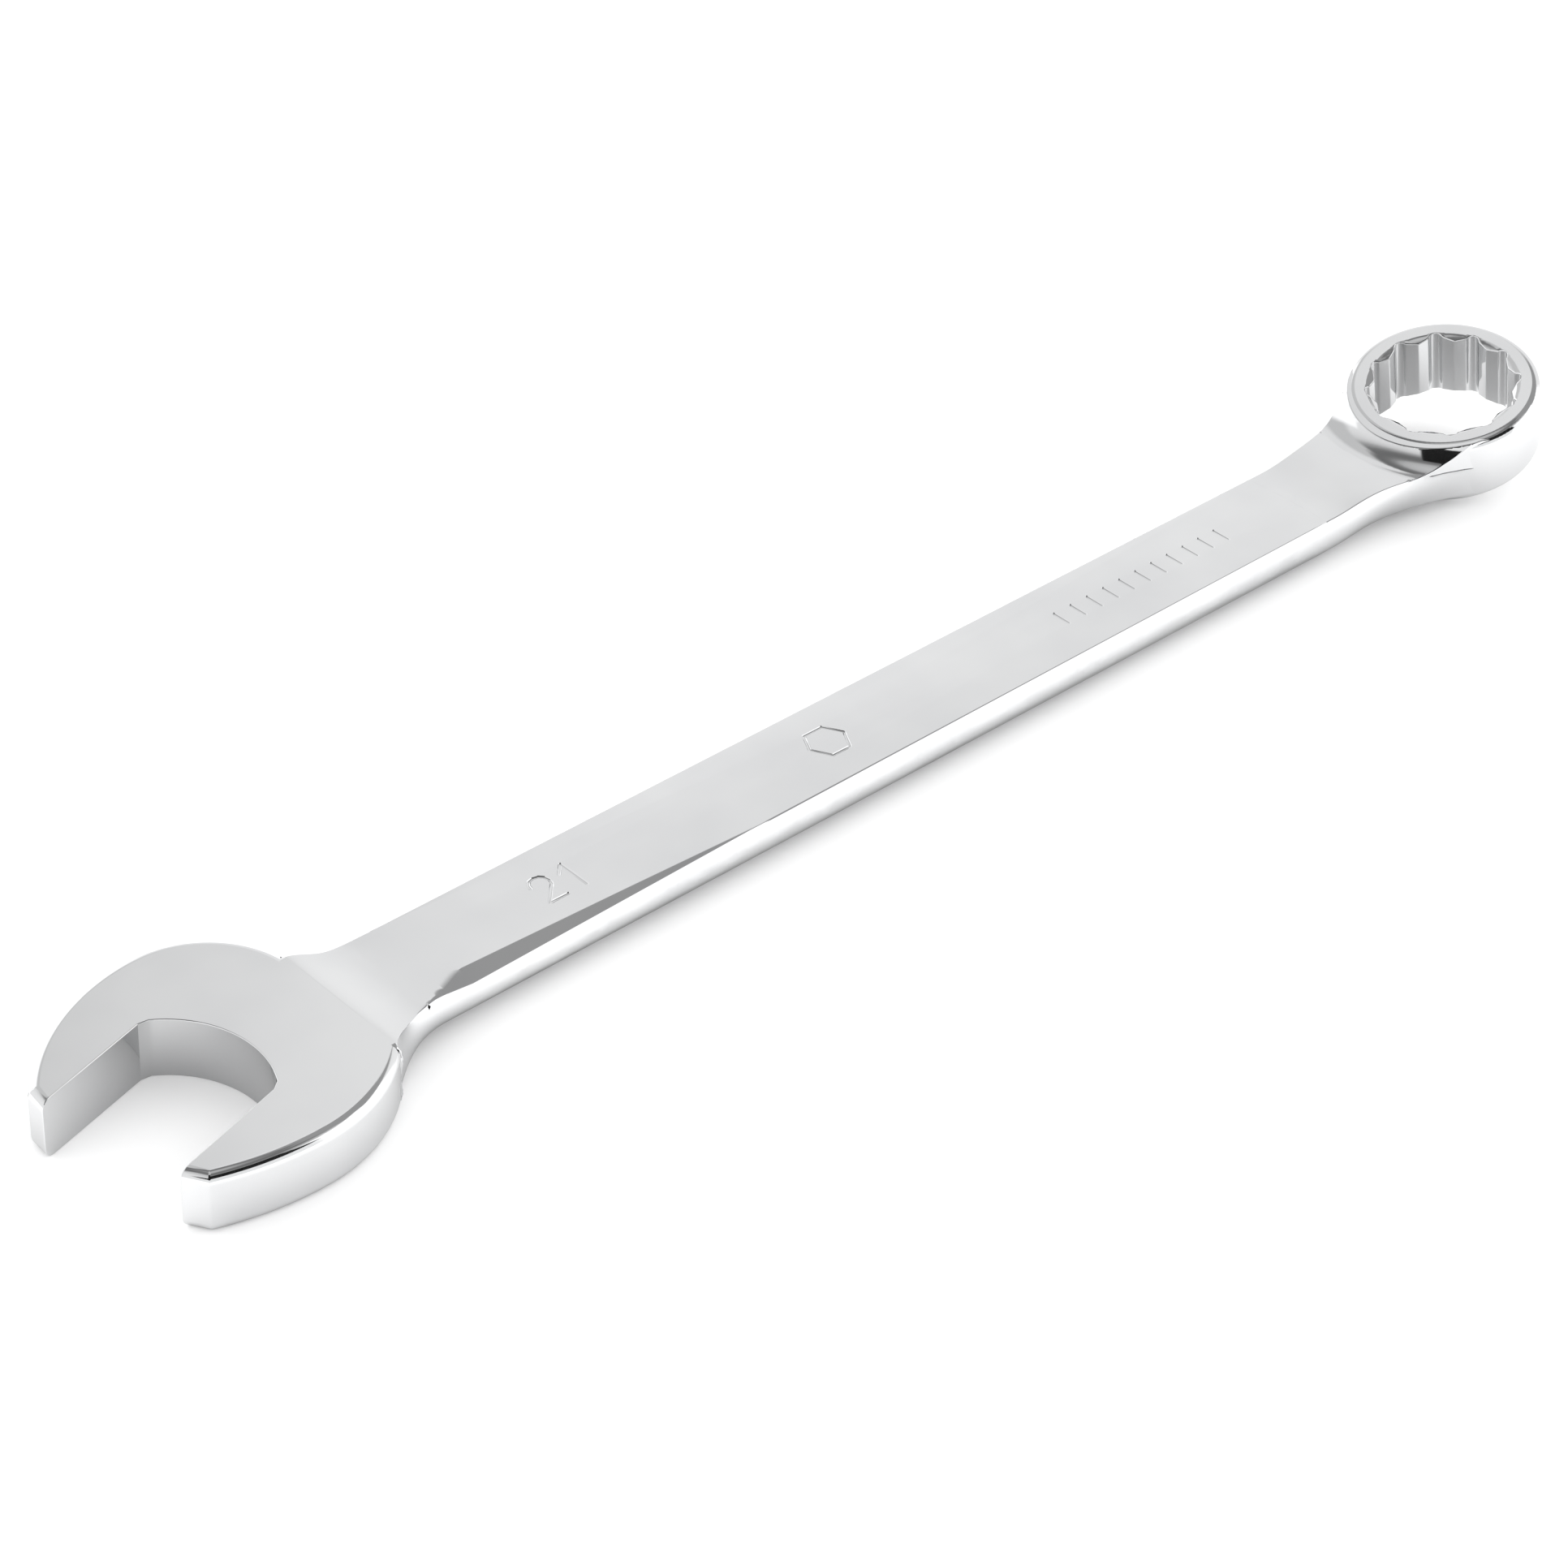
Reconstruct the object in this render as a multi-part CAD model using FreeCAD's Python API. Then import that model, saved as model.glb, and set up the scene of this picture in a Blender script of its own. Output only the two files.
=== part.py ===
"""Combination wrench, 21 mm: an open end turned 15 degrees and a 12-point box end offset 15 degrees.

Millimetres, +Z up. X runs along the shank from the open end to the box end. The origin is the
centre of a nut held in the open end, at half the head's thickness. The wrench lies flat on the
open end and on the low edge of the ring.

The shapes are drawn about the point where the centre line of the jaws crosses the centre line of
the shank, and moved to the nut's centre at the end. Left is the -Y side and right the +Y side.
"""
import FreeCAD, Part
import math
import os

V = FreeCAD.Vector

# Nut size
across_flats = 21.0
jaw_clearance = 0.15
throat_clearance = 0.23
socket_clearance = 0.15

# Open end
jaw_angle = 15.0
nut_seat = 8.4
head_thickness = 9.3
head_rim_radius = 1.5
jaw_root = 1.4
jaw_length = 18.2
jaw_width_left = 10.725
jaw_width_right = 10.925
jaw_tip_width_left = 3.5
jaw_tip_width_right = 3.2
jaw_tip_slant = 1.1
throat_corner_inset = 0.575
head_crest_x_left = 1.5
head_crest_x_right = 3.5

# Open neck
open_neck_start = 18.0
open_neck_length = 13.0
open_neck_half_width_left = 14.7
open_neck_half_width_right = 9.7
open_neck_sweep_left = 2
open_neck_sweep_right = 4
open_neck_fall_length = 4.4
open_neck_sections = 11

# Shank
shank_half_width = 7.95
shank_side_bulge = 0.95
shank_half_thickness_open = 2.5
shank_half_thickness_box = 2.9
shank_crown = 0.2
least_bulge = 0.02

# Ground facet on the top left edge, measured from the start of the shank
edge_relief_lead = 3.5
edge_relief_widest = 4.0
edge_relief_length = 57.0
edge_relief_width = 1.9
edge_relief_depth = 0.4

# Box end
ring_centre_x = 245.6
ring_offset_angle = 15.0
ring_height = 11.9
ring_wall = 3.45
ring_wall_bulge = 0.45
ring_edge_radius = 1.6
socket_points = 12
socket_phase = 15.0
socket_lead_past_corner = 0.19
socket_lead_depth = 0.6
socket_groove_past_corner = 0.14
socket_groove_radius = 1.1

# Box neck, whose bend and flare are measured from the end of the shank
box_neck_length = 38.6
box_neck_bend_start = 2.0
box_neck_bend_end = 14.0
box_neck_rise = 0.9
box_neck_flare_start = 6.0
box_neck_join_angle = 65.2
box_neck_join_inset = 0.19
box_neck_undercut = 0.9
box_neck_sections = 10
ring_blend_reach = 6.0
ring_blend_drop = 0.48
ring_face_ledge = 0.1

# Stamped marks; the first two places are from the start of the shank, the last from its end
mark_depth = 0.2
mark_stroke = 0.6
digit_height = 5.4
digit_width = 3.2
digit_stem = 1.9
digit_pitch = 4.6
size_mark_from_start = 25.7
nut_symbol_from_start = 75.5
nut_symbol_radius = 3.4
tick_row_from_end = 34.0
tick_count = 11
tick_pitch = 3.6
tick_height = 3.0

# How far the cutter of the socket's lead-in stands past the face
cutter_overrun = 1.0

half_gap = (across_flats + jaw_clearance) / 2
throat_corner = half_gap - throat_corner_inset
throat_depth = across_flats / 2 / math.cos(math.pi / 6) - nut_seat + throat_clearance
half_head = head_thickness / 2
head_half_width_left = half_gap + jaw_width_left
head_half_width_right = half_gap + jaw_width_right
half_head_width = max(head_half_width_left, head_half_width_right)

shank_start = open_neck_start + open_neck_length
shank_end = ring_centre_x - box_neck_length

socket_corner = (across_flats + socket_clearance) / 2 / math.cos(math.pi / 6)
socket_groove_reach = socket_corner + socket_groove_past_corner
socket_lead_radius = socket_corner + socket_lead_past_corner
half_ring = ring_height / 2
ring_outer_radius = socket_groove_reach + ring_wall
ring_tilt = math.radians(ring_offset_angle)
ring_rim_radius = ring_outer_radius - ring_wall_bulge
ring_wall_lean = 2 * math.atan(ring_wall_bulge / half_ring)
ring_face_radius = ring_rim_radius - ring_edge_radius * math.tan(math.pi / 4 - ring_wall_lean / 2)
ring_centre_z = (ring_face_radius * math.sin(ring_tilt)
                 + (half_ring - ring_edge_radius) * math.cos(ring_tilt)
                 + ring_edge_radius - half_head)

box_neck_join = math.radians(box_neck_join_angle)
box_neck_end = ring_centre_x - ring_outer_radius * math.cos(box_neck_join)
box_neck_end_width = ring_outer_radius * math.sin(box_neck_join) - box_neck_join_inset
box_neck_top = box_neck_rise + shank_half_thickness_box
ring_blend_top = ring_centre_z + (half_ring - ring_blend_drop + (box_neck_end - ring_centre_x)
                                  * math.sin(ring_tilt)) / math.cos(ring_tilt)


def jaw_point(along, across, z=0.0):
    """A point of the open end: along the opening direction, and across it towards +Y."""
    turn = math.radians(jaw_angle)
    x = -math.cos(turn) * along - math.sin(turn) * across
    y = -math.sin(turn) * along + math.cos(turn) * across
    return V(x, y, z)


def arc(start, middle, end):
    return Part.Arc(start, middle, end).toShape()


def line(start, end):
    return Part.LineSegment(start, end).toShape()


def smooth(value, low, high):
    """0 below low, 1 above high, and an even S between them."""
    u = min(1.0, max(0.0, (value - low) / (high - low)))
    return u * u * (3 - 2 * u)


def raised(edges, bottom, top):
    """A closed outline of edges, given at z = 0, made a solid between two heights."""
    face = Part.Face(Part.Wire(Part.__sortEdges__(edges)))
    face.translate(V(0, 0, bottom))
    return face.extrude(V(0, 0, top - bottom))


# ---- open end ----

def shoulder(crest, end):
    """An arc that leaves the crest parallel to the shank and runs to the end point."""
    dx = end.x - crest.x
    dy = end.y - crest.y
    radius = (dx * dx + dy * dy) / (2 * abs(dy))
    centre = V(crest.x, crest.y + math.copysign(radius, dy), 0)
    middle = (crest - centre) + (end - centre)
    middle = centre + middle.normalize() * radius
    return arc(crest, middle, end)


def head_outline():
    """Plan of the head: two jaw tips, two long jaw backs, two tighter shoulders and a neck stub."""
    tip = jaw_root + jaw_length
    right_tip = jaw_point(tip - jaw_tip_slant, half_gap + jaw_tip_width_right)
    left_tip = jaw_point(tip - jaw_tip_slant, -half_gap - jaw_tip_width_left)
    right_crest = V(head_crest_x_right, head_half_width_right, 0)
    left_crest = V(head_crest_x_left, -head_half_width_left, 0)
    right_neck = V(open_neck_start, open_neck_half_width_right, 0)
    left_neck = V(open_neck_start, -open_neck_half_width_left, 0)
    stub = V(2 * head_rim_radius, 0, 0)
    return [
        line(jaw_point(tip, half_gap), right_tip),
        shoulder(right_crest, right_tip),
        shoulder(right_crest, right_neck),
        line(right_neck, right_neck + stub),
        line(right_neck + stub, left_neck + stub),
        line(left_neck + stub, left_neck),
        shoulder(left_crest, left_neck),
        shoulder(left_crest, left_tip),
        line(left_tip, jaw_point(tip, -half_gap)),
        line(jaw_point(tip, -half_gap), jaw_point(tip, half_gap)),
    ]


def jaw_gap():
    """The space of the nut: two parallel flats, short corners and a hollow throat."""
    reach = jaw_root + 2 * jaw_length
    right_root = jaw_point(jaw_root, half_gap)
    left_root = jaw_point(jaw_root, -half_gap)
    right_throat = jaw_point(0, throat_corner)
    left_throat = jaw_point(0, -throat_corner)
    outline = [
        line(jaw_point(reach, half_gap), right_root),
        line(right_root, right_throat),
        arc(right_throat, jaw_point(-throat_depth, 0), left_throat),
        line(left_throat, left_root),
        line(left_root, jaw_point(reach, -half_gap)),
        line(jaw_point(reach, -half_gap), jaw_point(reach, half_gap)),
    ]
    return raised(outline, -head_thickness, head_thickness)


def open_head():
    """The rounded slab, cut off square where the neck begins, with the jaws opened."""
    slab = raised(head_outline(), -half_head, half_head)
    rims = [edge for edge in slab.Edges if edge.BoundBox.ZLength < 1e-6]
    past_neck = Part.makeBox(head_thickness, 4 * half_head_width, 2 * head_thickness,
                             V(open_neck_start, -2 * half_head_width, -head_thickness))
    return slab.makeFillet(head_rim_radius, rims).cut([jaw_gap(), past_neck])


def head_region(side):
    """The half space of one jaw, from just past the root of its flat; side is 1 (+Y) or -1."""
    reach = 3 * jaw_length
    corners = [jaw_point(jaw_root, 0), jaw_point(reach, 0), jaw_point(reach, side * reach),
               jaw_point(jaw_root, side * reach)]
    sides = [line(a, b) for a, b in zip(corners, corners[1:] + corners[:1])]
    return raised(sides, -head_thickness, head_thickness)


# ---- shank and necks ----

def section(x, left, right, top, bottom, bulge, crown=shank_crown, undercut=0.0):
    """One cross section: slightly crowned faces and bulging sides that meet at crisp edges."""
    corners = [V(x, right, top), V(x, right - undercut, bottom),
               V(x, undercut - left, bottom), V(x, -left, top)]
    middle = (right - left) / 2
    waist = (top + bottom) / 2
    side = bulge - undercut / 2
    return Part.Wire([
        arc(corners[0], V(x, right + side, waist), corners[1]),
        arc(corners[1], V(x, middle, bottom - crown), corners[2]),
        arc(corners[2], V(x, -left - side, waist), corners[3]),
        arc(corners[3], V(x, middle, top + crown), corners[0]),
    ])


def shank_half_thickness(x):
    share = (x - shank_start) / (shank_end - shank_start)
    return shank_half_thickness_open + share * (shank_half_thickness_box - shank_half_thickness_open)


def open_neck_left(x):
    """The left edge of the open neck, which sweeps out to the fuller side of the head."""
    share = (shank_start - x) / open_neck_length
    widening = open_neck_half_width_left - shank_side_bulge - shank_half_width
    return -shank_half_width - widening * share ** open_neck_sweep_left


def open_neck_section(x):
    """Where the head thins and narrows to the shank."""
    share = (shank_start - x) / open_neck_length
    widening = open_neck_half_width_right - shank_side_bulge - shank_half_width
    left = -open_neck_left(x)
    right = shank_half_width + widening * share ** open_neck_sweep_right
    fall = math.exp(-((x - open_neck_start) / open_neck_fall_length) ** 2)
    half = shank_half_thickness_open + (half_head - shank_half_thickness_open) * fall
    crown = max(shank_crown * (1 - fall), least_bulge)
    return section(x, left, right, half, -half, shank_side_bulge, crown)


def box_neck_flare(x):
    """How far the neck has widened, on each side, on its way to the ring."""
    start = shank_end + box_neck_flare_start
    run = max(0.0, x - start)
    full_run = box_neck_end - start
    widening = box_neck_end_width - shank_half_width
    radius = (full_run ** 2 + widening ** 2) / (2 * widening)
    return radius - math.sqrt(radius ** 2 - run ** 2)


def box_neck_section(x):
    """Where the shank bends up and widens on a large radius to take hold of the ring."""
    past = x - shank_end
    bend = smooth(past, box_neck_bend_start, box_neck_bend_end)
    rise = box_neck_rise * bend
    fade = 1 - smooth(past, box_neck_flare_start, box_neck_end - shank_end)
    width = shank_half_width + box_neck_flare(x)
    return section(x, width, width, rise + shank_half_thickness_box, rise - shank_half_thickness_box,
                   max(shank_side_bulge * fade, least_bulge),
                   max(shank_crown * (1 - bend), least_bulge),
                   box_neck_undercut * (1 - fade))


def above_plane(a, b, c):
    """A block larger than the shank, standing on the upper side of the plane of three points."""
    normal = (b - a).cross(c - a)
    if normal.z < 0:
        normal = normal.negative()
    reach = shank_end
    block = Part.makeBox(2 * reach, 2 * reach, reach, V(-reach, -reach, 0))
    block.Placement = FreeCAD.Placement(a, FreeCAD.Rotation(V(0, 0, 1), normal))
    return block


def edge_relief():
    """The long ground facet that takes the corner off the top left edge, out of the neck."""
    top = shank_half_thickness_open
    edge = -shank_half_width
    start_x = shank_start - edge_relief_lead
    widest_x = shank_start + edge_relief_widest
    end_x = shank_start + edge_relief_length
    start = V(start_x, open_neck_left(start_x), top)
    inner = V(widest_x, edge + edge_relief_width, top)
    lower = V(widest_x, edge, top - edge_relief_depth)
    end = V(end_x, edge, shank_half_thickness(end_x))
    clear_of_head = Part.makeBox(shank_end, 2 * shank_end, shank_end, V(start_x, -shank_end, 0))
    facets = above_plane(start, inner, lower).common(above_plane(inner, end, lower))
    return facets.common(clear_of_head)


def stations(start, end, count):
    return [start + (end - start) * i / (count - 1) for i in range(count)]


def open_neck():
    wires = [open_neck_section(x)
             for x in stations(open_neck_start, shank_start, open_neck_sections)]
    return Part.makeLoft(wires, True).cut(edge_relief())


def plain_shank():
    ends = [shank_start, shank_end]
    width = shank_half_width
    wires = [section(x, width, width, shank_half_thickness(x), -shank_half_thickness(x),
                     shank_side_bulge) for x in ends]
    return Part.makeLoft(wires, True, True)


def box_neck_plan():
    """The plan of the widening neck, standing far through both of its faces."""
    edge = [V(x, shank_half_width + box_neck_flare(x), 0)
            for x in stations(shank_end, box_neck_end, box_neck_sections)]
    corners = edge + [V(p.x, -p.y, 0) for p in reversed(edge)]
    sides = Part.makePolygon(corners + corners[:1])
    face = Part.Face(sides)
    face.translate(V(0, 0, -2 * ring_height))
    return face.extrude(V(0, 0, 4 * ring_height))


def ring_blend():
    """The hollow fillet above the neck, turned about an upright line and cut off at the face."""
    low = box_neck_top - shank_crown
    height = ring_blend_top - box_neck_top
    radius = (ring_blend_reach ** 2 + height ** 2) / (2 * height)
    half_sweep = math.atan2(height, ring_blend_reach)
    foot = V(ring_outer_radius + ring_blend_reach, 0, box_neck_top)
    head = V(ring_outer_radius, 0, ring_blend_top)
    hollow = foot + V(-math.sin(half_sweep), 0, 1 - math.cos(half_sweep)) * radius
    corners = [head, V(0, 0, head.z), V(0, 0, low), V(foot.x, 0, low), foot]
    sides = [line(a, b) for a, b in zip(corners, corners[1:])]
    profile = Part.Wire([arc(foot, hollow, head)] + sides)
    blend = Part.Face(profile).revolve(V(0, 0, 0), V(0, 0, 1), 360)
    blend.translate(V(ring_centre_x, 0, 0))
    below_face = Part.makeCylinder(2 * ring_outer_radius, 2 * ring_height,
                                   V(0, 0, half_ring - ring_face_ledge - 2 * ring_height))
    return blend.common(tilted(below_face))


def box_neck():
    wires = [box_neck_section(x)
             for x in stations(shank_end, box_neck_end, box_neck_sections)]
    blend = ring_blend().common(box_neck_plan())
    return Part.makeLoft(wires, True).fuse(blend).cut(ring_blank())


# ---- box end ----

def tilted(shape):
    """A shape made about the Z axis at the origin, set into the place of the ring."""
    placed = shape.copy()
    placed.rotate(V(0, 0, 0), V(0, 1, 0), -ring_offset_angle)
    placed.translate(V(ring_centre_x, 0, ring_centre_z))
    return placed


def ring_blank():
    """The ring without its socket: flat faces, a barrel wall and rounded edges."""
    top = V(ring_rim_radius, 0, half_ring)
    bottom = V(ring_rim_radius, 0, -half_ring)
    profile = Part.Wire([
        line(V(0, 0, -half_ring), bottom),
        arc(bottom, V(ring_outer_radius, 0, 0), top),
        line(top, V(0, 0, half_ring)),
        line(V(0, 0, half_ring), V(0, 0, -half_ring)),
    ])
    blank = Part.Face(profile).revolve(V(0, 0, 0), V(0, 0, 1), 360)
    rims = [e for e in blank.Edges if e.Curve.TypeId == "Part::GeomCircle"
            and abs(e.Curve.Radius - ring_rim_radius) < 1e-6 and e.BoundBox.ZLength < 1e-6]
    return tilted(blank.makeFillet(ring_edge_radius, rims))


def socket():
    """Two hexagons a twelfth of a turn apart, with rounded corners and a conical lead-in."""
    reach = ring_height
    pitch = 360.0 / socket_points
    turns = [math.radians(socket_phase + pitch * k) for k in range(socket_points)]
    groove_line = socket_groove_reach - socket_groove_radius
    cutters = [Part.makeCylinder(socket_groove_radius, 2 * reach,
                                 V(groove_line * math.cos(t), groove_line * math.sin(t), -reach))
               for t in turns]
    for hexagon in (turns[0::2], turns[1::2]):
        points = [V(socket_corner * math.cos(t), socket_corner * math.sin(t), -reach)
                  for t in hexagon + hexagon[:1]]
        cutters.append(Part.Face(Part.makePolygon(points)).extrude(V(0, 0, 2 * reach)))
    notch = socket_corner * math.cos(math.pi / 6) / math.cos(math.pi / 12)
    slope = (socket_lead_radius - notch) / socket_lead_depth
    for side in (1, -1):
        base = V(0, 0, side * (half_ring + cutter_overrun))
        cutters.append(Part.makeCone(socket_lead_radius + slope * cutter_overrun, notch,
                                     socket_lead_depth + cutter_overrun, base, V(0, 0, -side)))
    return tilted(cutters[0].fuse(cutters[1:]))


# ---- stamped marks ----

def stroke(start, end):
    """A cutter for one stroke: a lying round bar with round ends, which leaves a hollow groove."""
    radius = (mark_stroke ** 2 / 4 + mark_depth ** 2) / (2 * mark_depth)
    height = shank_half_thickness(start[0]) + shank_crown + radius - mark_depth
    a = V(start[0], start[1], height)
    b = V(end[0], end[1], height)
    bar = Part.makeCylinder(radius, (b - a).Length, a, b - a)
    return bar.fuse([Part.makeSphere(radius, p) for p in (a, b)])


def chain(points):
    return [stroke(a, b) for a, b in zip(points, points[1:])]


def size_mark():
    """The nut size, 21, read with the box end to the right."""
    r = digit_width / 2
    shoulder_y = digit_height - r
    bow = [(r + r * math.cos(math.radians(t)), shoulder_y + r * math.sin(math.radians(t)))
           for t in range(180, -31, -30)]
    two = bow + [(0.0, 0.0), (digit_width, 0.0)]
    one = [(digit_stem - r, shoulder_y), (digit_stem, digit_height), (digit_stem, 0.0)]
    left = shank_start + size_mark_from_start - (digit_pitch + digit_width) / 2
    low = -digit_height / 2
    cutters = []
    for k, digit in enumerate((two, one)):
        cutters += chain([(left + k * digit_pitch + x, low + y) for x, y in digit])
    return cutters


def nut_symbol():
    """A plain hexagon outline in the middle of the shank."""
    centre_x = shank_start + nut_symbol_from_start
    turns = [math.radians(60 * k) for k in range(7)]
    return chain([(centre_x + nut_symbol_radius * math.cos(t), nut_symbol_radius * math.sin(t))
                  for t in turns])


def tick_row():
    """A row of plain ticks, each one stroke wide."""
    first = shank_end - tick_row_from_end - tick_pitch * (tick_count - 1) / 2
    half = tick_height / 2
    return [stroke((first + k * tick_pitch, -half), (first + k * tick_pitch, half))
            for k in range(tick_count)]


def stamped_shank():
    cutters = size_mark() + nut_symbol() + tick_row()
    return plain_shank().cut(cutters + [edge_relief()])


# ---- the parts ----

def build():
    head = open_head()
    right_region = head_region(1)
    left_region = head_region(-1)
    return {
        "open_jaw_right": head.common(right_region),
        "open_jaw_left": head.common(left_region),
        "open_end_web": head.cut([right_region, left_region]),
        "open_end_neck": open_neck(),
        "shank": stamped_shank(),
        "box_end_neck": box_neck(),
        "box_end_ring": ring_blank().cut(socket()),
    }


os.makedirs("parts", exist_ok=True)
for name, shape in build().items():
    shape.translate(jaw_point(nut_seat, 0).negative())
    box = shape.BoundBox
    print(f"{name:16s} valid {shape.isValid()} solids {len(shape.Solids)} "
          f"volume {shape.Volume:9.1f}  x {box.XMin:7.2f} {box.XMax:7.2f}  "
          f"y {box.YMin:7.2f} {box.YMax:7.2f}  z {box.ZMin:6.2f} {box.ZMax:6.2f}")
    shape.exportStep(f"parts/{name}.step")
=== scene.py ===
# %% [markdown]
# # A chrome combination wrench
#
# The real tool is one drop forging, ground, polished and plated. Everything that makes it look
# real is in two places: the small radii that catch the light between its faces, and what those
# mirror faces see around them. So this lesson spends its time on edges, plate and studio.
#
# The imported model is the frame. It gives the seven regions of the forging, in metres.

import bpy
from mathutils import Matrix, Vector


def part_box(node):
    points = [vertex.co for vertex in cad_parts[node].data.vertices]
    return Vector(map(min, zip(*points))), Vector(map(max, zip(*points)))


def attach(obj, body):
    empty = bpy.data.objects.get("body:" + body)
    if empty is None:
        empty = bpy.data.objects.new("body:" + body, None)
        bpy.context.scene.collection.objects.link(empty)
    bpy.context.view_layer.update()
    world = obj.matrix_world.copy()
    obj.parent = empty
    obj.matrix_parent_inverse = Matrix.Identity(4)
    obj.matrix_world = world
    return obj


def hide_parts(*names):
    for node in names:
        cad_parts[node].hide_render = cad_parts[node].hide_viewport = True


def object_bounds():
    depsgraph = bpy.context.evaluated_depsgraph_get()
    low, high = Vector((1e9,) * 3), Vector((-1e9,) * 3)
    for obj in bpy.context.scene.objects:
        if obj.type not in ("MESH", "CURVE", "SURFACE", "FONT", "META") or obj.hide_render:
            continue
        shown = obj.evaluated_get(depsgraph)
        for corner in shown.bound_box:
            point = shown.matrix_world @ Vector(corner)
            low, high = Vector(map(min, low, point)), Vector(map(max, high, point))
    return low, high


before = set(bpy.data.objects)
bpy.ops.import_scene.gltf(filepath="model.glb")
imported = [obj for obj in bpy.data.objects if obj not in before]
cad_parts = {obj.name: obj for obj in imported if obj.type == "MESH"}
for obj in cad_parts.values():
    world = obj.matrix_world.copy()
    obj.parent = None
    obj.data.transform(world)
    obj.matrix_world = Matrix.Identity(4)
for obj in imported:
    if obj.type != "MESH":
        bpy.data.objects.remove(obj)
cad_box = [list(corner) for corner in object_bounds()]

import math

import bmesh
import bpy
from mathutils import Matrix, Vector
from mathutils.bvhtree import BVHTree

scene = bpy.context.scene
MM = 0.001
print("regions of the forging:", sorted(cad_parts))
print("whole wrench, mm:", [[round(c / MM, 2) for c in corner] for corner in cad_box])

# %% [markdown]
# ## Camera
#
# A long lens from up and to the left of the jaws looks along the shank, so the open end is near
# and large and the ring is far. A camera looks down its own -Z, so its matrix is built from three
# square directions: back (from the wrench to the lens), right and up, then rolled a little.

# %% Camera
VIEW_AZIMUTH = math.radians(-46.11)
VIEW_ELEVATION = math.radians(36.41)
VIEW_ROLL = math.radians(3.96)
VIEW_DISTANCE = 522.5 * MM
VIEW_TARGET = Vector((105.68, 1.36, 0.0)) * MM
SENSOR_WIDTH = 36.0
LENS = 86.12

back = Vector((math.sin(VIEW_AZIMUTH) * math.cos(VIEW_ELEVATION),
               -math.cos(VIEW_AZIMUTH) * math.cos(VIEW_ELEVATION),
               math.sin(VIEW_ELEVATION)))
level_right = Vector((math.cos(VIEW_AZIMUTH), math.sin(VIEW_AZIMUTH), 0.0))
level_up = back.cross(level_right)
right = level_right * math.cos(VIEW_ROLL) + level_up * math.sin(VIEW_ROLL)
up = level_up * math.cos(VIEW_ROLL) - level_right * math.sin(VIEW_ROLL)

camera = bpy.data.objects.new("camera", bpy.data.cameras.new("camera"))
scene.collection.objects.link(camera)
camera.data.sensor_width = SENSOR_WIDTH
camera.data.lens = LENS
camera.matrix_world = (Matrix.Translation(VIEW_TARGET + back * VIEW_DISTANCE)
                       @ Matrix((right, up, back)).transposed().to_4x4())
scene.camera = camera
print("camera at, mm:", [round(c / MM, 1) for c in camera.matrix_world.translation])

# %% [markdown]
# ## Chrome plate
#
# Chrome is a metal with almost no colour, so the material is a Principled shader with Metallic 1
# and a pale, barely blue base. What keeps it from looking computed is small: the plate follows
# the slow waves left by the polishing wheel, it has fine hairlines along the shank, and its gloss
# changes a little from place to place. All three are noise on Object coordinates, so they stay
# on the metal when the view moves.

# %% Node helpers
def new_material(name):
    material = bpy.data.materials.new(name)
    material.use_nodes = True
    nodes = material.node_tree.nodes
    nodes.clear()
    output = nodes.new("ShaderNodeOutputMaterial")
    shader = nodes.new("ShaderNodeBsdfPrincipled")
    material.node_tree.links.new(shader.outputs[0], output.inputs["Surface"])
    return material, shader


def object_noise(tree, scale, stretch=(1.0, 1.0, 1.0), detail=2.0):
    """Noise on Object coordinates; scale is in waves per metre, stretch thins it on an axis."""
    place = tree.nodes.new("ShaderNodeTexCoord")
    mapping = tree.nodes.new("ShaderNodeMapping")
    mapping.inputs["Scale"].default_value = stretch
    noise = tree.nodes.new("ShaderNodeTexNoise")
    noise.inputs["Scale"].default_value = scale
    noise.inputs["Detail"].default_value = detail
    tree.links.new(place.outputs["Object"], mapping.inputs["Vector"])
    tree.links.new(mapping.outputs["Vector"], noise.inputs["Vector"])
    return noise.outputs["Fac"]


def ranged(tree, value, start, end, low, high):
    """A value that runs from start to end, brought to low to high."""
    spread = tree.nodes.new("ShaderNodeMapRange")
    spread.inputs["From Min"].default_value = start
    spread.inputs["From Max"].default_value = end
    spread.inputs["To Min"].default_value = low
    spread.inputs["To Max"].default_value = high
    tree.links.new(value, spread.inputs["Value"])
    return spread.outputs["Result"]


def bump(tree, height, distance, normal=None):
    node = tree.nodes.new("ShaderNodeBump")
    node.inputs["Distance"].default_value = distance
    node.inputs["Strength"].default_value = 1.0
    tree.links.new(height, node.inputs["Height"])
    if normal:
        tree.links.new(normal, node.inputs["Normal"])
    return node.outputs["Normal"]


# %% Polished chrome
PLATE_TINTS = ((0.80, 0.805, 0.815, 1.0), (0.86, 0.865, 0.87, 1.0))
PLATE_GLOSS = (0.045, 0.085)
NOISE_SPREAD = (0.3, 0.7)          # most of the noise lies between these two
TINT_WAVES = 60.0                  # per metre, as are the next three
GLOSS_WAVES = 140.0
WHEEL_WAVES = 110.0
HAIRLINES = 4000.0
HAIRLINE_STRETCH = (0.02, 1.0, 1.0)
WHEEL_WAVE_HEIGHT = 0.006 * MM
HAIRLINE_HEIGHT = 0.0002 * MM

polished_plate, plate_shader = new_material("polished_plate")
plate = polished_plate.node_tree
plate_shader.inputs["Metallic"].default_value = 1.0

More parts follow.
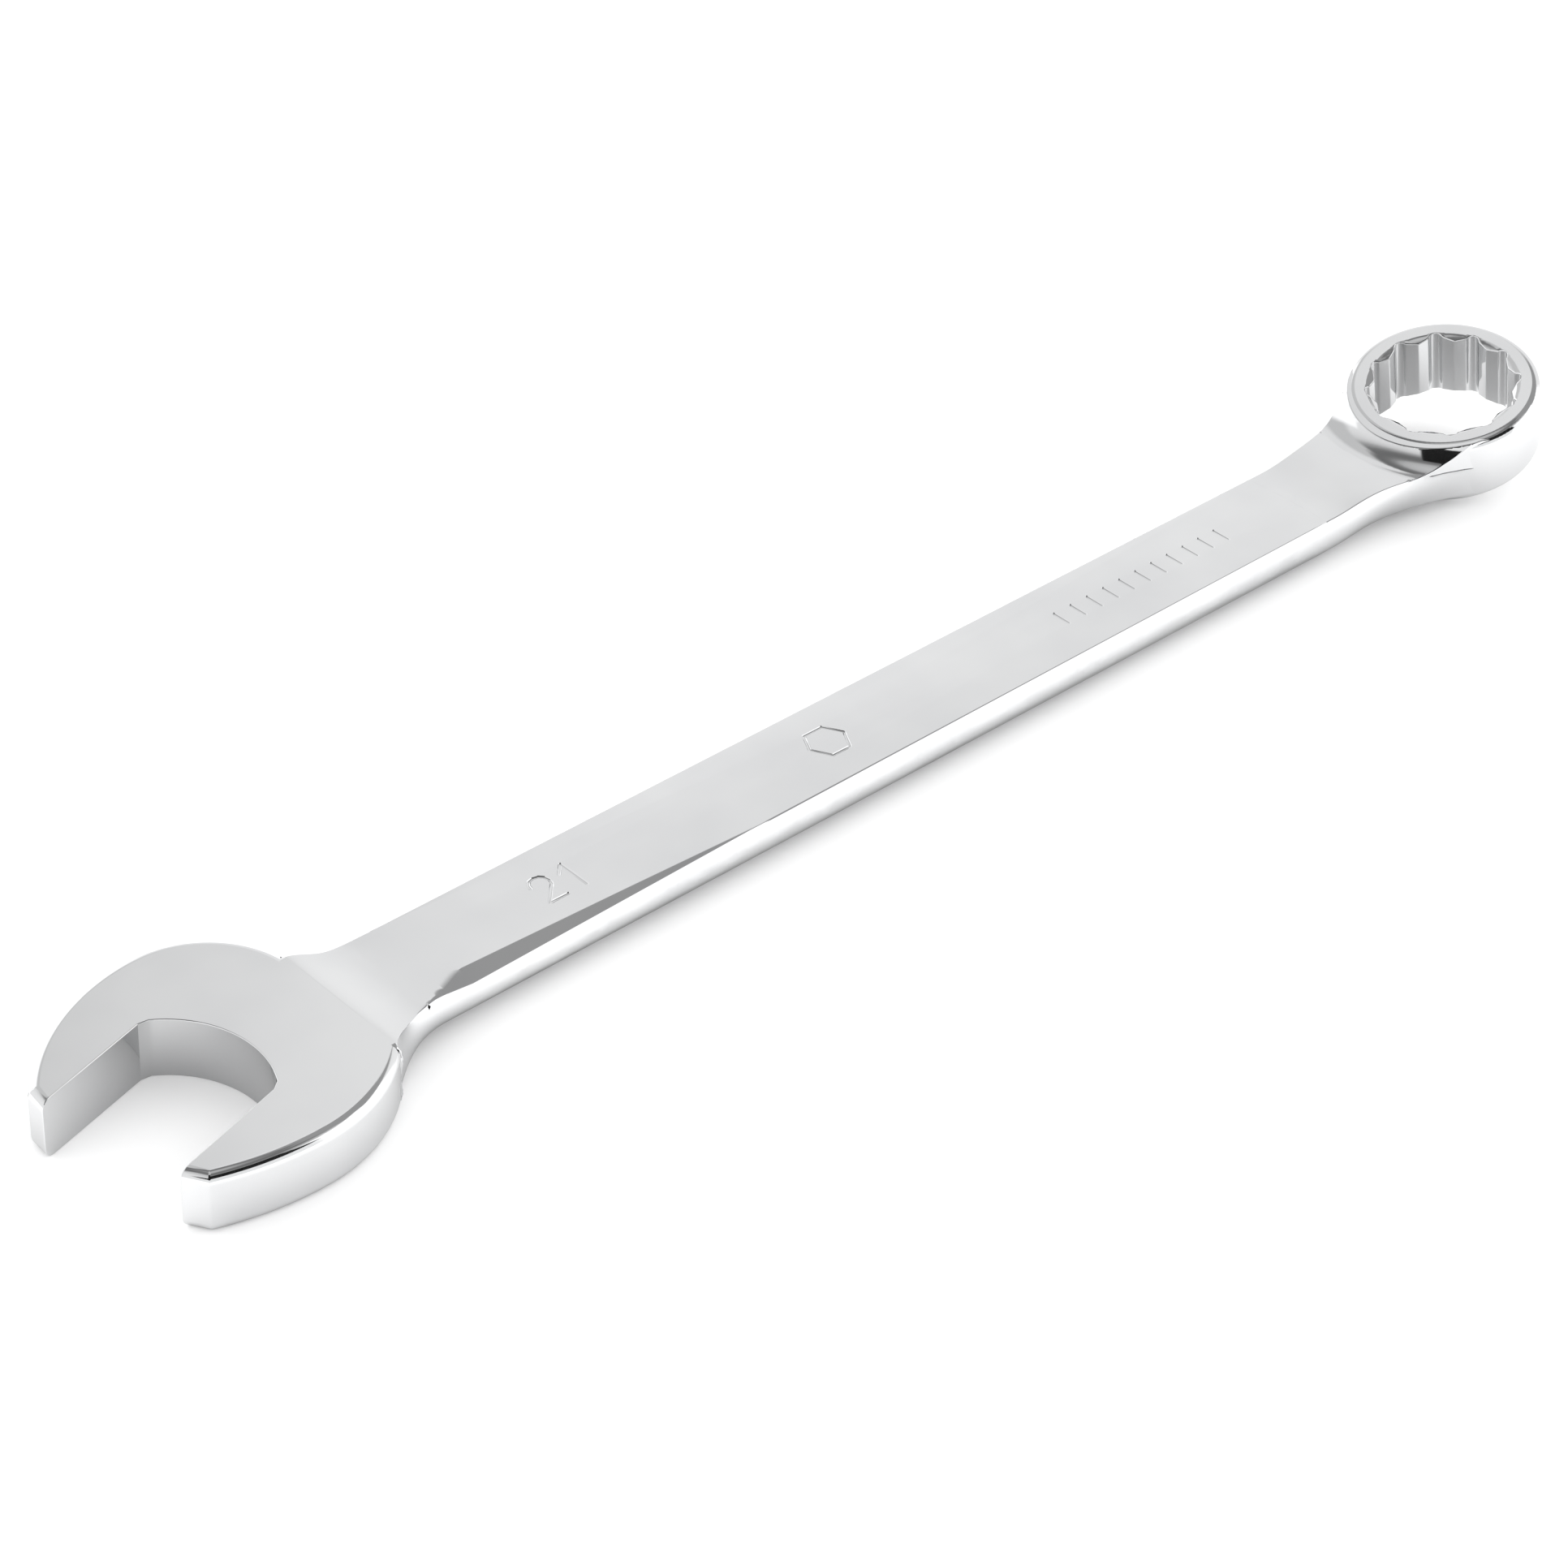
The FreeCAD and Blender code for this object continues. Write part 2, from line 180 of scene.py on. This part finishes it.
tint = plate.nodes.new("ShaderNodeMix")
tint.data_type = "RGBA"
tint_factor, tint_from, tint_to = (tint.inputs[i] for i in (0, 6, 7))
tint_from.default_value, tint_to.default_value = PLATE_TINTS
plate.links.new(ranged(plate, object_noise(plate, TINT_WAVES), *NOISE_SPREAD, 0.0, 1.0),
                tint_factor)
plate.links.new(tint.outputs[2], plate_shader.inputs["Base Color"])

gloss_noise = object_noise(plate, GLOSS_WAVES, detail=4.0)
plate.links.new(ranged(plate, gloss_noise, *NOISE_SPREAD, *PLATE_GLOSS),
                plate_shader.inputs["Roughness"])

waves = bump(plate, object_noise(plate, WHEEL_WAVES), WHEEL_WAVE_HEIGHT)
hairs = bump(plate, object_noise(plate, HAIRLINES, HAIRLINE_STRETCH), HAIRLINE_HEIGHT, waves)
plate.links.new(hairs, plate_shader.inputs["Normal"])
print("plate nodes:", len(plate.nodes))

# %% [markdown]
# ## From a CAD region to a plated skin
#
# A CAD node's mesh is loose triangles, one patch per face. For a mirror finish that isn't enough:
# each edge would be perfectly sharp, and no real plated edge is. The region is copied, its loose
# points are merged, and flat patches are made single faces again. The copy then stands for the
# CAD node.

# %% Merged copy of one region
SAME_POINT = 0.0005 * MM
FLAT_TURN = 0.05


def region_mesh(node):
    """A merged copy of a CAD region, with each flat patch made one face again."""
    bm = bmesh.new()
    bm.from_mesh(node.data)
    bmesh.ops.remove_doubles(bm, verts=bm.verts, dist=SAME_POINT)
    bmesh.ops.dissolve_limit(bm, angle_limit=math.radians(FLAT_TURN), verts=bm.verts,
                             edges=bm.edges)
    return bm


def edge_turn(edge):
    """How far the surface turns over an edge, in degrees."""
    return math.degrees(edge.calc_face_angle(0.0))


regions = {name: region_mesh(node) for name, node in sorted(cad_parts.items())}
print("faces per region:", {name: len(bm.faces) for name, bm in regions.items()})

# %% [markdown]
# ## Seams and edges
#
# The forging is continuous, but its regions are closed solids that meet face to face. An edge
# on such a meeting face isn't an edge of the tool, so it has to stay sharp and hidden. A BVH tree
# finds the nearest point of the other regions quickly: an edge whose middle lies on another
# region is a seam. All other sharp edges are rounded with the bevel operator, as the polishing
# wheel does. The wheel doesn't reach into the marks stamped in the shank, so those stay crisp.
#
# Some edges fade out into a smooth face. A rounding that stopped where the edge is still visible
# could end in a dark tick, so it follows the edge straight on until the edge has all but gone.

# %% Which edges are rounded
SEAM_DISTANCE = 0.02 * MM
SHARP_TURN = 28.0
FADED_TURN = 9.0
STRAIGHT_ON = 0.94
EDGE_ROUND = 0.16 * MM
SPIKE = 2 * EDGE_ROUND
MARK_BAND = 5.5 * MM

surfaces = {name: BVHTree.FromBMesh(bm) for name, bm in regions.items()}
shank_low, shank_high = (Vector(corner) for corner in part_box("shank"))
shank_middle = (shank_low + shank_high) / 2


def middle_of(edge):
    return (edge.verts[0].co + edge.verts[1].co) / 2


def is_seam(edge, region):
    """True where the edge lies on another region of the forging."""
    return any(surface.find_nearest(middle_of(edge), SEAM_DISTANCE)[0] is not None
               for name, surface in surfaces.items() if name != region)


def is_mark(edge):
    """True for the edges of the stamped marks, in a band along the middle of the shank."""
    return abs(middle_of(edge).y - shank_middle.y) < MARK_BAND


def round_edges(bm, edges):
    bmesh.ops.bevel(bm, geom=edges, offset=EDGE_ROUND, offset_type="OFFSET", affect="EDGES",
                    segments=3, profile=0.5, material=-1, clamp_overlap=False)


def direction(edge):
    return (edge.verts[1].co - edge.verts[0].co).normalized()


def with_fading_ends(edges, region):
    """The edges and their straight continuations, until the edge has all but gone."""
    chosen = set(edges)
    front = list(edges)
    while front:
        edge = front.pop()
        for vert in edge.verts:
            for other in vert.link_edges:
                if other in chosen or edge_turn(other) < FADED_TURN or is_seam(other, region):
                    continue
                if abs(direction(edge).dot(direction(other))) > STRAIGHT_ON:
                    chosen.add(other)
                    front.append(other)
    return list(chosen)


def pull_in_spikes(bm, surface):
    """Where three rounded edges meet at a flat angle a point can shoot out: put it back."""
    pulled = 0
    for vert in bm.verts:
        place, _, _, distance = surface.find_nearest(vert.co)
        if distance > SPIKE:
            vert.co = place
            pulled += 1
    return pulled


# %% Round the edges of every region
for name, bm in regions.items():
    sharp = [edge for edge in bm.edges if edge_turn(edge) > SHARP_TURN and not is_seam(edge, name)]
    outer = [edge for edge in sharp if name != "shank" or not is_mark(edge)]
    outer = with_fading_ends(outer, name)
    round_edges(bm, outer)
    pulled = pull_in_spikes(bm, surfaces[name])
    print(name, "sharp edges", len(sharp), "rounded", len(outer), "points put back", pulled)

# %% [markdown]
# ## Normals and plate
#
# Smooth shading averages the normals of the faces around a point. Next to a rounded edge that
# would tip the normals of the large flats, and a mirror shows a tip of one degree. The Weighted
# Normal modifier counts each face by its area and corner angle, so the flats stay flat and only
# the rounding turns. On a seam the two regions must also agree: the shank and its necks cross
# their seams square, so there the normals are laid flat into the seam's own plane.

# %% Skin of one region
SMOOTH_TURN = 35.0
SQUARE_CROSSING = 0.35


def weighted_normals(piece):
    """The modifier's normals as a list, one for each face corner."""
    weigh = piece.modifiers.new("flat_faces_stay_flat", "WEIGHTED_NORMAL")
    weigh.mode = "FACE_AREA_WITH_ANGLE"
    weigh.keep_sharp = True
    seen = piece.evaluated_get(bpy.context.evaluated_depsgraph_get())
    normals = [Vector(corner.vector) for corner in seen.data.corner_normals]
    piece.modifiers.remove(weigh)
    return normals


def square_seams(node_name):
    """The X of each of the region's own seams that the surface crosses square."""
    start, end = (corner[0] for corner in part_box(node_name))
    return [x for x in (shank_low.x, shank_high.x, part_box("open_end_neck")[0][0])
            if start - SEAM_DISTANCE < x < end + SEAM_DISTANCE]


def finish_skin(bm, name, node_name):
    """Turns the mesh into the piece that stands for its CAD node."""
    mesh = bpy.data.meshes.new(name)
    for face in bm.faces:
        face.smooth = True
    for edge in bm.edges:
        edge.smooth = edge_turn(edge) < SMOOTH_TURN
    bm.to_mesh(mesh)
    bm.free()
    piece = bpy.data.objects.new(name, mesh)
    scene.collection.objects.link(piece)
    mesh.materials.append(polished_plate)
    normals = weighted_normals(piece)
    seams = square_seams(node_name)
    for corner, normal in zip(mesh.loops, normals):
        x = mesh.vertices[corner.vertex_index].co.x
        if abs(normal.x) < SQUARE_CROSSING and any(abs(x - seam) < SEAM_DISTANCE for seam in seams):
            normal.x = 0.0
            normal.normalize()
    mesh.normals_split_custom_set(normals)
    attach(piece, "root")
    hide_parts(node_name)
    print(name, "faces", len(mesh.polygons))


# %% Plate every region
for node_name, bm in regions.items():
    finish_skin(bm, node_name + "_skin", node_name)

# %% [markdown]
# ## Floor
#
# The wrench lies on white paper. A floor could be a curved cove, but a plain plane is enough when
# it is lit evenly to the edge of the picture. The plate mirrors it too: the soft shade under the
# head and inside the throat is what gives the lower walls their grey falloff.
#
# Bright paper hides that shade, so it is painted into the paper's colour. The Ambient Occlusion
# node measures how much metal stands near a spot of the paper, and the Light Path node lets only
# mirror rays see this painted shade: the paper darker there.

# %% Floor
def plain_plane(name, size, place):
    bm = bmesh.new()
    bmesh.ops.create_grid(bm, x_segments=1, y_segments=1, size=size / 2)
    bmesh.ops.translate(bm, verts=bm.verts, vec=place)
    mesh = bpy.data.meshes.new(name)
    bm.to_mesh(mesh)
    bm.free()
    plane = bpy.data.objects.new(name, mesh)
    scene.collection.objects.link(plane)
    return plane


FLOOR_SIZE = 8.0
PAPER_TONE = 0.93
SHADE_REACH = 24.0 * MM
# Paper colour as mirror rays see it: plain in the open, darkened with painted shade where metal
# walls it in.
OPEN_TONE = 0.89                   # open paper and walled-in paper, as the mirrors see them
PAINTED_SHADE_TONE = 0.46
WALLED_IN = 0.25                   # the share of open surroundings that counts as walled in

paper, paper_shader = new_material("white_paper")
paper_shader.inputs["Roughness"].default_value = 0.9
paper_tree = paper.node_tree
nearby = paper_tree.nodes.new("ShaderNodeAmbientOcclusion")
nearby.inputs["Distance"].default_value = SHADE_REACH
asked = paper_tree.nodes.new("ShaderNodeLightPath")
paper_tone = paper_tree.nodes.new("ShaderNodeMix")
tone_factor, tone_plain, mirrored_painted_shade = (paper_tone.inputs[i] for i in (0, 2, 3))
tone_plain.default_value = PAPER_TONE
# Painted shade: for mirror rays the paper's colour darkens where metal stands near it.
paper_tree.links.new(ranged(paper_tree, nearby.outputs["AO"], WALLED_IN, 1.0, PAINTED_SHADE_TONE,
                            OPEN_TONE), mirrored_painted_shade)
paper_tree.links.new(asked.outputs["Is Glossy Ray"], tone_factor)
paper_tree.links.new(paper_tone.outputs[0], paper_shader.inputs["Base Color"])

floor = plain_plane("floor", FLOOR_SIZE, Vector((0, 0, cad_box[0][2])))
floor.data.materials.append(paper)
print("floor at, mm:", round(cad_box[0][2] / MM, 2))

# %% [markdown]
# ## Studio
#
# A mirror has no look of its own: it shows the room. The room could be built from area lights,
# but their edges are hard in chrome and each one throws a shadow. Here the world itself is the
# studio: a soft tone that depends on the height of the sight line, and on it a few soft cards,
# each a patch of directions between two bearings and two heights. White cards make the clean
# sides, and dark cards behind and beside the lens draw the thin black lines on the rounded rims.
# The dark cards hang high, or the flats would go black when the wrench is seen from behind.

# %% Bearing and height of a sight line
world = bpy.data.worlds.new("card_studio")
scene.world = world
world.use_nodes = True
sky = world.node_tree
sight = sky.nodes.new("ShaderNodeTexCoord")
sight_parts = sky.nodes.new("ShaderNodeSeparateXYZ")
sky.links.new(sight.outputs["Generated"], sight_parts.inputs[0])


def sky_math(operation, first, second=None):
    node = sky.nodes.new("ShaderNodeMath")
    node.operation = operation
    for socket, value in zip(node.inputs, (first, second)):
        if isinstance(value, bpy.types.NodeSocket):
            sky.links.new(value, socket)
        elif value is not None:
            socket.default_value = value
    return node.outputs[0]


bearing = sky_math("DEGREES", sky_math("ARCTAN2", sight_parts.outputs["Y"],
                                       sight_parts.outputs["X"]))
height = sky_math("DEGREES", sky_math("ARCSINE", sight_parts.outputs["Z"]))


# %% Cards
def soft_step(value, start, end):
    """0 on the start side, 1 on the end side, with an even S between."""
    step = sky.nodes.new("ShaderNodeMapRange")
    step.interpolation_type = "SMOOTHSTEP"
    step.inputs["From Min"].default_value = start
    step.inputs["From Max"].default_value = end
    sky.links.new(value, step.inputs["Value"])
    return step.outputs["Result"]


def card(room, tone, bearings, heights, soft_bearing, soft_height):
    """The room with one card in it; the soft edges lie outside the two bearings and heights."""
    sides = [soft_step(bearing, bearings[0] - soft_bearing, bearings[0]),
             soft_step(bearing, bearings[1] + soft_bearing, bearings[1]),
             soft_step(height, heights[0] - soft_height, heights[0]),
             soft_step(height, heights[1] + soft_height, heights[1])]
    mask = sides[0]
    for side in sides[1:]:
        mask = sky_math("MULTIPLY", mask, side)
    change = sky_math("MULTIPLY", mask, sky_math("SUBTRACT", tone, room))
    return sky_math("ADD", room, change)


def tone_by_height(tones):
    """Room tone from a list of (height in degrees, tone)."""
    place = sky.nodes.new("ShaderNodeMapRange")
    place.inputs["From Min"].default_value = -90.0
    place.inputs["From Max"].default_value = 90.0
    sky.links.new(height, place.inputs["Value"])
    curve = sky.nodes.new("ShaderNodeFloatCurve")
    sky.links.new(place.outputs["Result"], curve.inputs["Value"])
    points = curve.mapping.curves[0].points
    curve.mapping.use_clip = False
    while len(points) < len(tones):
        points.new(0.5, 0.5)
    for point, (degrees, tone) in zip(points, tones):
        point.location = ((degrees + 90.0) / 180.0, tone)
    curve.mapping.update()
    return curve.outputs[0]


# %% Room and its cards
ROOM_TONES = [(-90, 0.9), (0, 0.93), (25, 0.91), (38, 0.85), (47, 0.72), (56, 0.34), (66, 0.17),
              (78, 0.5), (90, 0.62)]

# tone, two bearings, two heights, then the soft edges along the bearing and the height
CARDS = [
    (0.85, (42, 78), (40, 58), 5, 5),               # the face of the ring
    (0.62, (64, 90), (28, 58), 14, 8),              # the top of the head, greyer than the shank
    (1.3, (-62, -8), (-34, 42), 6, 6),              # the near sides of the head and the shank
    (1.25, (68, 112), (0, 28), 6, 8),               # the rounded rims on the far side
    (0.34, (-30, 37), (48, 66), 5, 3),              # the ground facet and the near rims
    (0.34, (-20, 26), (40, 60), 6, 5),              # the same, nearer to the horizon
    (0.012, (-104, -64), (29, 54), 3, 3),           # the black line on the rims, and by the ring
    (0.012, (-162, -106), (25, 64), 4, 4),          # the black where the rims turn to the lens
]

room = tone_by_height(ROOM_TONES)
for layout in CARDS:
    room = card(room, *layout)
print("cards:", len(CARDS))

# %% [markdown]
# ## Light for the paper
#
# The paper needs even light with no cards in it, or it would turn grey. The Light Path node tells
# the world which kind of ray asks: mirror rays get the room with the cards, the others get plain
# white. That white is stronger near the horizon than overhead, so the light reaches the open
# paper but not the gap between the jaws, which stays shaded and is mirrored in its walls.

# %% Room for mirrors, white for the rest
PAPER_LIGHT = [(-90, 2.1), (0, 2.1), (30, 1.9), (60, 1.05), (90, 0.7)]

path = sky.nodes.new("ShaderNodeLightPath")
white = tone_by_height(PAPER_LIGHT)
shown = sky_math("ADD", white, sky_math("MULTIPLY", path.outputs["Is Glossy Ray"],
                                        sky_math("SUBTRACT", room, white)))
sky.links.new(shown, sky.nodes["Background"].inputs["Strength"])
sky.nodes["Background"].inputs["Color"].default_value = (1.0, 1.0, 1.0, 1.0)
scene.view_settings.view_transform = "Standard"
print("studio nodes:", len(sky.nodes))
